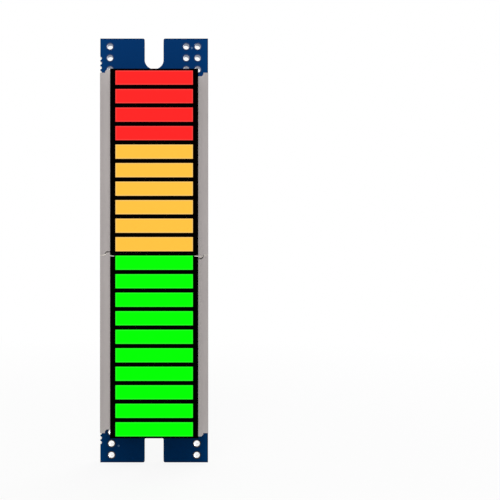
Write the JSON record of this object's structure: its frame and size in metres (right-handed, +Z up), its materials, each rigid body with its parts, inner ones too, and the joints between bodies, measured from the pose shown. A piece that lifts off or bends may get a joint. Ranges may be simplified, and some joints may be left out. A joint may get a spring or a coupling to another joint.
{
  "type": "led level meter module",
  "caption": "Bar-graph level meter: stepped red, amber and green displays on a narrow slotted circuit board, with driver chips, trimmers and a connector behind.",
  "frame": {"origin": "middle of the board's back face, halfway between the two screw slots", "axes": "+Z up along the board, -Y out of the displays' faces, +Y out of the parts side, +X to the right as seen from the front"},
  "size_m": [0.0188, 0.0171, 0.074],
  "materials": {
    "amber_resin": "cast resin, satin",
    "base_black": "moulded, satin",
    "black_mask": "printed, matt",
    "board_laminate": "blue solder mask, satin gloss",
    "bright_solder": "bright solder",
    "can_aluminium": "drawn, satin",
    "chip_black": "moulded epoxy, matt",
    "dull_solder": "dull tinned",
    "green_resin": "cast resin, satin",
    "grey_housing": "moulded, matt",
    "ivory_nylon": "moulded, satin",
    "lead_tin": "matt tin plate",
    "red_resin": "cast resin, satin",
    "resistor_black": "glazed",
    "rotor_cream": "moulded, satin",
    "tan_ceramic": "fired, satin",
    "tantalum_resin": "moulded, matt",
    "tinned_copper": "tinned, satin",
    "trimmer_brown": "moulded, satin"
  },
  "bodies": {
    "module": {"circuit_board": "board_laminate", "plated_holes": "tinned_copper", "test_pads": "dull_solder", "bare_solder_pads": "tinned_copper", "upper_led_housing": "grey_housing", "lower_led_housing": "grey_housing", "upper_face_mask": "black_mask", "lower_face_mask": "black_mask", "upper_led_pins": "bright_solder", "lower_led_pins": "bright_solder", "red_segment_1": "red_resin", "red_segment_2": "red_resin", "red_segment_3": "red_resin", "red_segment_4": "red_resin", "amber_segment_1": "amber_resin", "amber_segment_2": "amber_resin", "amber_segment_3": "amber_resin", "amber_segment_4": "amber_resin", "amber_segment_5": "amber_resin", "amber_segment_6": "amber_resin", "green_segment_1": "green_resin", "green_segment_2": "green_resin", "green_segment_3": "green_resin", "green_segment_4": "green_resin", "green_segment_5": "green_resin", "green_segment_6": "green_resin", "green_segment_7": "green_resin", "green_segment_8": "green_resin", "green_segment_9": "green_resin", "green_segment_10": "green_resin", "upper_driver_chip": "chip_black", "upper_driver_leads": "lead_tin", "lower_driver_chip": "chip_black", "lower_driver_leads": "lead_tin", "right_amplifier_chip": "chip_black", "right_amplifier_leads": "lead_tin", "middle_amplifier_chip": "chip_black", "middle_amplifier_leads": "lead_tin", "lower_amplifier_chip": "chip_black", "lower_amplifier_leads": "lead_tin", "upper_trimmer_body": "trimmer_brown", "upper_trimmer_terminals": "lead_tin", "lower_trimmer_body": "trimmer_brown", "lower_trimmer_terminals": "lead_tin", "capacitor_base": "base_black", "capacitor_can": "can_aluminium", "capacitor_tabs": "lead_tin", "connector_housing": "ivory_nylon", "connector_pins": "lead_tin", "chip_resistors": "resistor_black", "resistor_arrays": "resistor_black", "ceramic_capacitors": "tan_ceramic", "tantalum_capacitors": "tantalum_resin", "chip_end_caps": "bright_solder", "small_transistors": "chip_black", "rectifier_diode": "chip_black", "small_leads": "lead_tin"},
    "upper_rotor": {"upper_trimmer_rotor": "rotor_cream"},
    "lower_rotor": {"lower_trimmer_rotor": "rotor_cream"}
  },
  "joints": [
    {"name": "upper_trimmer_turn", "type": "hinge", "parent": "module", "child": "upper_rotor", "pos_m": [-0.00085, 0.00195, 0.00578], "axis": [0, 1, 0], "range_deg": [-105, 105]},
    {"name": "lower_trimmer_turn", "type": "hinge", "parent": "module", "child": "lower_rotor", "pos_m": [-0.00085, 0.00195, 0.00058], "axis": [0, 1, 0], "range_deg": [-105, 105]}
  ]
}
